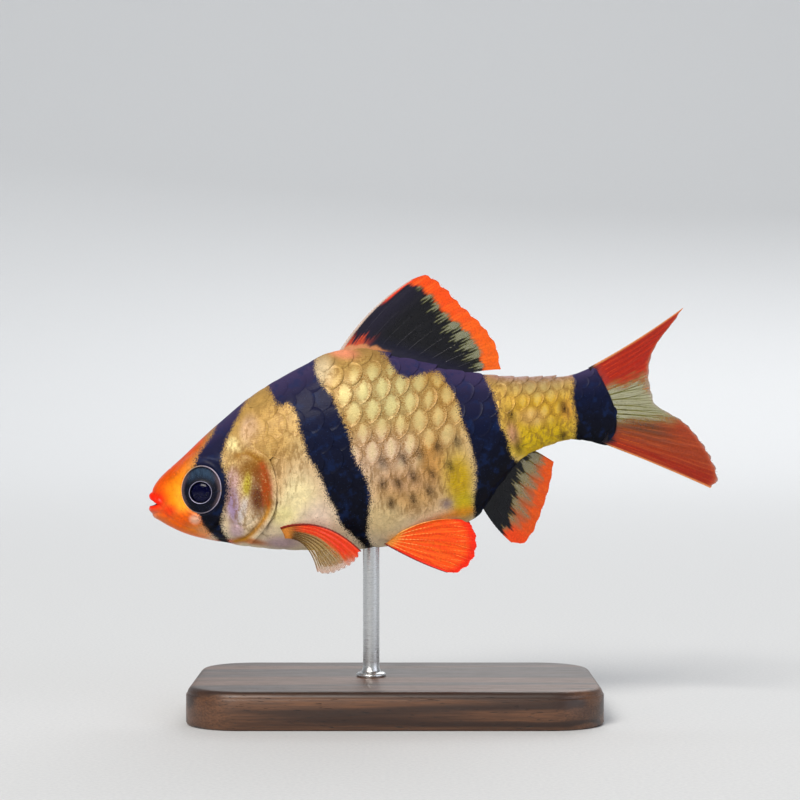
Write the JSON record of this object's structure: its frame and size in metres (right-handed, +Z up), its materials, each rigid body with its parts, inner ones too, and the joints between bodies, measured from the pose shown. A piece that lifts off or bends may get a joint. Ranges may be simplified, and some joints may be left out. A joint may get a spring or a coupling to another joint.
{
  "type": "tiger barb model on a display stand",
  "caption": "Life-size still model of an adult tiger barb with spread fins, held nose slightly down on a short rod over a flat base.",
  "frame": {"origin": "centre of the stand's underside", "axes": "+Z up out of the stand, +X towards the tail along the fish's length, so the fish's left side faces -Y"},
  "size_m": [0.0623, 0.027, 0.0477],
  "materials": {
    "skin_head": "cast and painted, satin clear coat",
    "skin_lips": "cast and painted, satin clear coat",
    "skin_body": "scaled, painted gold and blue-black, pearly clear coat",
    "gill_cover": "painted gold over silver, glossy",
    "eye": "polished, wet-looking",
    "fin": "thin tinted resin with raised rays",
    "stand_wood": "oiled walnut",
    "stand_steel": "brushed"
  },
  "bodies": {
    "root": {"head": "skin_head", "lower_jaw": "skin_lips", "gill_cover_left": "gill_cover", "gill_cover_right": "gill_cover", "trunk": "skin_body", "tail_stem": "skin_body", "eye_left": "eye", "eye_right": "eye", "dorsal_fin": "fin", "anal_fin": "fin", "tail_fin_upper": "fin", "tail_fin_lower": "fin", "pectoral_fin_left": "fin", "pectoral_fin_right": "fin", "pelvic_fin_left": "fin", "pelvic_fin_right": "fin", "stand_base": "stand_wood", "stand_rod": "stand_steel"}
  },
  "joints": []
}
